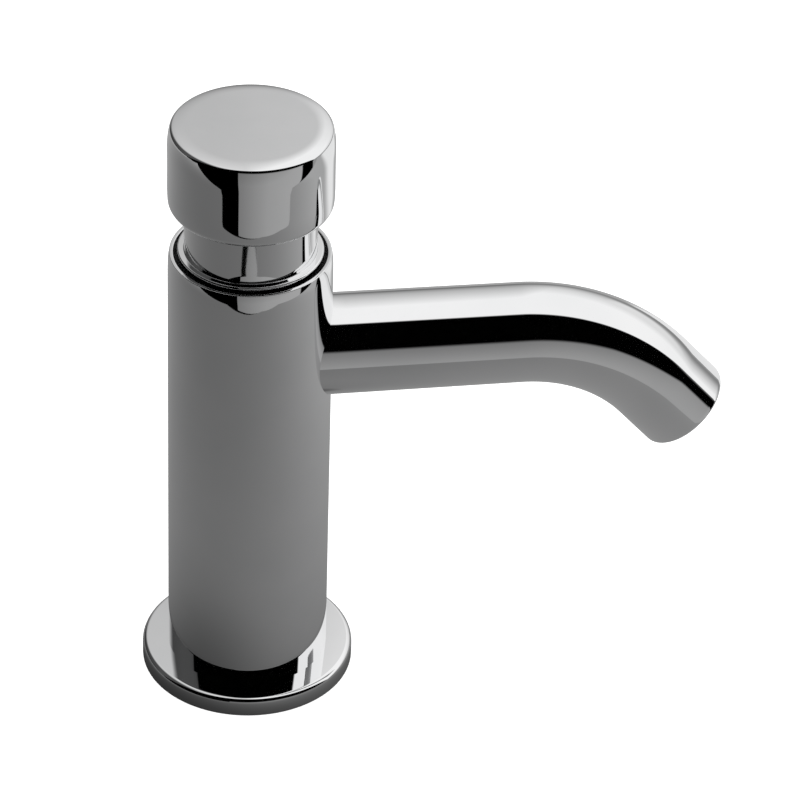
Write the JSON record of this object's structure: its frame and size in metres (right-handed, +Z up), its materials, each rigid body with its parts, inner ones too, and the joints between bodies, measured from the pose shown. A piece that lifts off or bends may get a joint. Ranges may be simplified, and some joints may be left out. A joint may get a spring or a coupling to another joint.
{
  "type": "push timed basin tap",
  "caption": "Chromed push timed basin tap: round tube body on a thin flange, bent tubular spout and a wide round push knob over a self-closing cartridge.",
  "frame": {"origin": "on the body's axis in the plane of the deck, at the flange's underside", "axes": "+Z up along the body towards the push knob, +X along the spout, seen from above"},
  "size_m": [0.1445, 0.053, 0.2082],
  "materials": {
    "chrome": "polished chrome plating",
    "brass": "turned brass",
    "steel": "stainless steel",
    "rubber": "black rubber",
    "plastic": "white acetal",
    "dark_plastic": "grey moulded plastic"
  },
  "bodies": {
    "tap_body": {"aerator_shell": "chrome", "backing_washer": "rubber", "backnut": "brass", "base_flange": "chrome", "body_tube": "chrome", "cage_gasket": "rubber", "cartridge_cage": "plastic", "cartridge_head": "chrome", "clamp_washer": "steel", "deck_gasket": "rubber", "flow_straightener": "dark_plastic", "head_seal": "rubber", "inlet_filter": "steel", "return_spring": "steel", "shank": "brass", "spout_tube": "chrome", "stem_guide": "brass", "valve_core": "brass"},
    "spring_carriage": {"spring_cup": "plastic"},
    "plunger": {"lip_seal": "rubber", "piston": "plastic", "poppet_washer": "rubber", "push_knob": "chrome", "stem": "steel", "stem_locknut": "steel", "valve_poppet": "brass"}
  },
  "joints": [
    {"name": "knob_press", "type": "slide", "parent": "tap_body", "child": "spring_carriage", "axis": [0, 0, -1], "range_m": [0, 0.008], "stiffness_N_per_m": 1500, "springref_m": -0.01, "deforming": ["return_spring"]},
    {"name": "knob_spin", "type": "hinge", "parent": "spring_carriage", "child": "plunger", "pos_m": [0, 0, 0], "axis": [0, 0, 1], "continuous": true}
  ]
}
